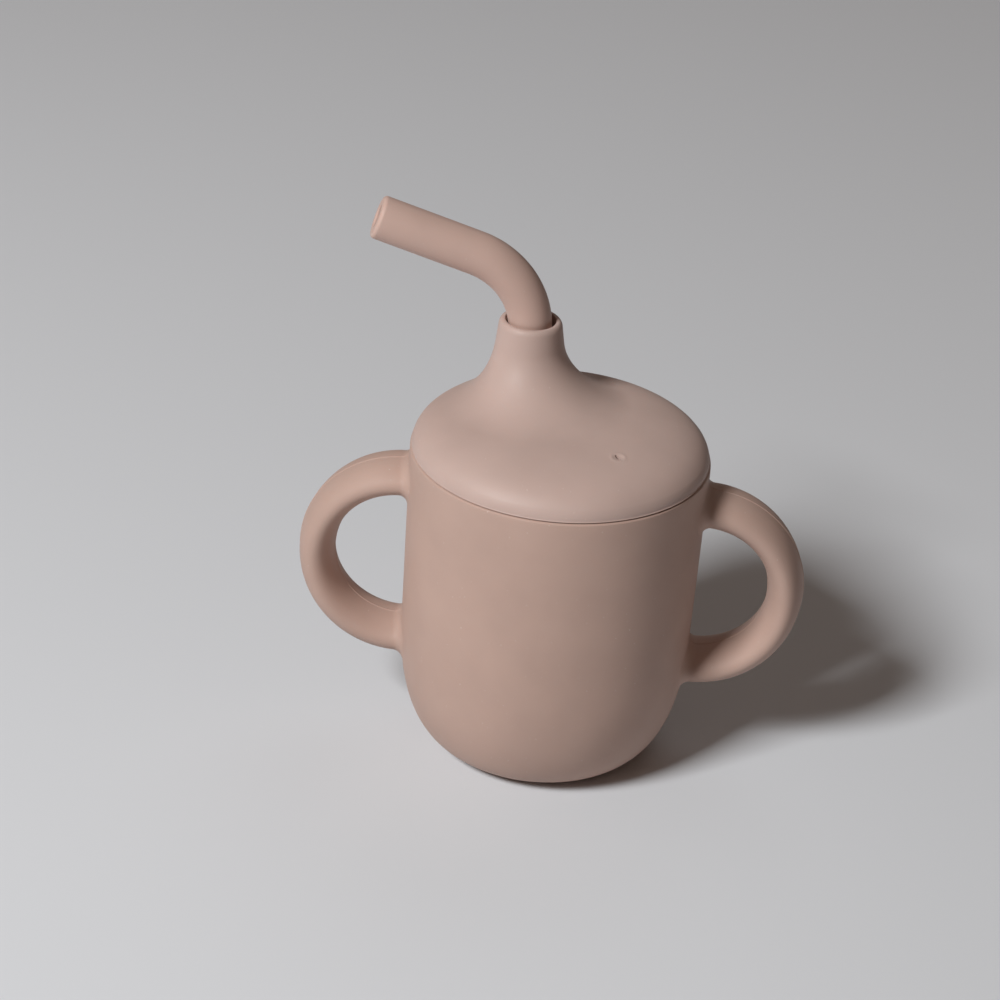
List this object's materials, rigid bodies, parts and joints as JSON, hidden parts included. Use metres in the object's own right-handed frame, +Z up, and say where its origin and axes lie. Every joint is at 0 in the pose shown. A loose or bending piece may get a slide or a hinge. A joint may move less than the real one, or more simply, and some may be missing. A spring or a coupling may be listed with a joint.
{
  "type": "sippy cup",
  "caption": "Soft silicone toddler cup with a looped handle on each side, a lift-off domed lid with an off-centre spout and air slit, and a bent drinking straw.",
  "frame": {"origin": "on the cup's upright axis, at the flat base that it stands on", "axes": "+Z up along the cup's axis; the handles lie along +X and -X; the spout stands off-centre towards -X +Y, the air slit is opposite it towards +X -Y, and the straw's drinking end points towards -X, slightly -Y"},
  "size_m": [0.129, 0.075, 0.1427],
  "materials": {
    "cup_silicone": "matte soft-touch silicone, dusty pink-beige",
    "lid_silicone": "matte soft-touch silicone, dusty pink-beige",
    "straw_silicone": "matte soft-touch silicone, dusty pink-beige"
  },
  "bodies": {
    "cup": {"cup_body": "cup_silicone"},
    "lid": {"lid": "lid_silicone"},
    "straw": {"straw": "straw_silicone"}
  },
  "joints": [
    {"name": "lid_lift", "type": "slide", "parent": "cup", "child": "lid", "axis": [0, 0, 1], "range_m": [0, 0.09]},
    {"name": "straw_pull", "type": "slide", "parent": "lid", "child": "straw", "axis": [0, 0, 1], "range_m": [0, 0.11]}
  ]
}
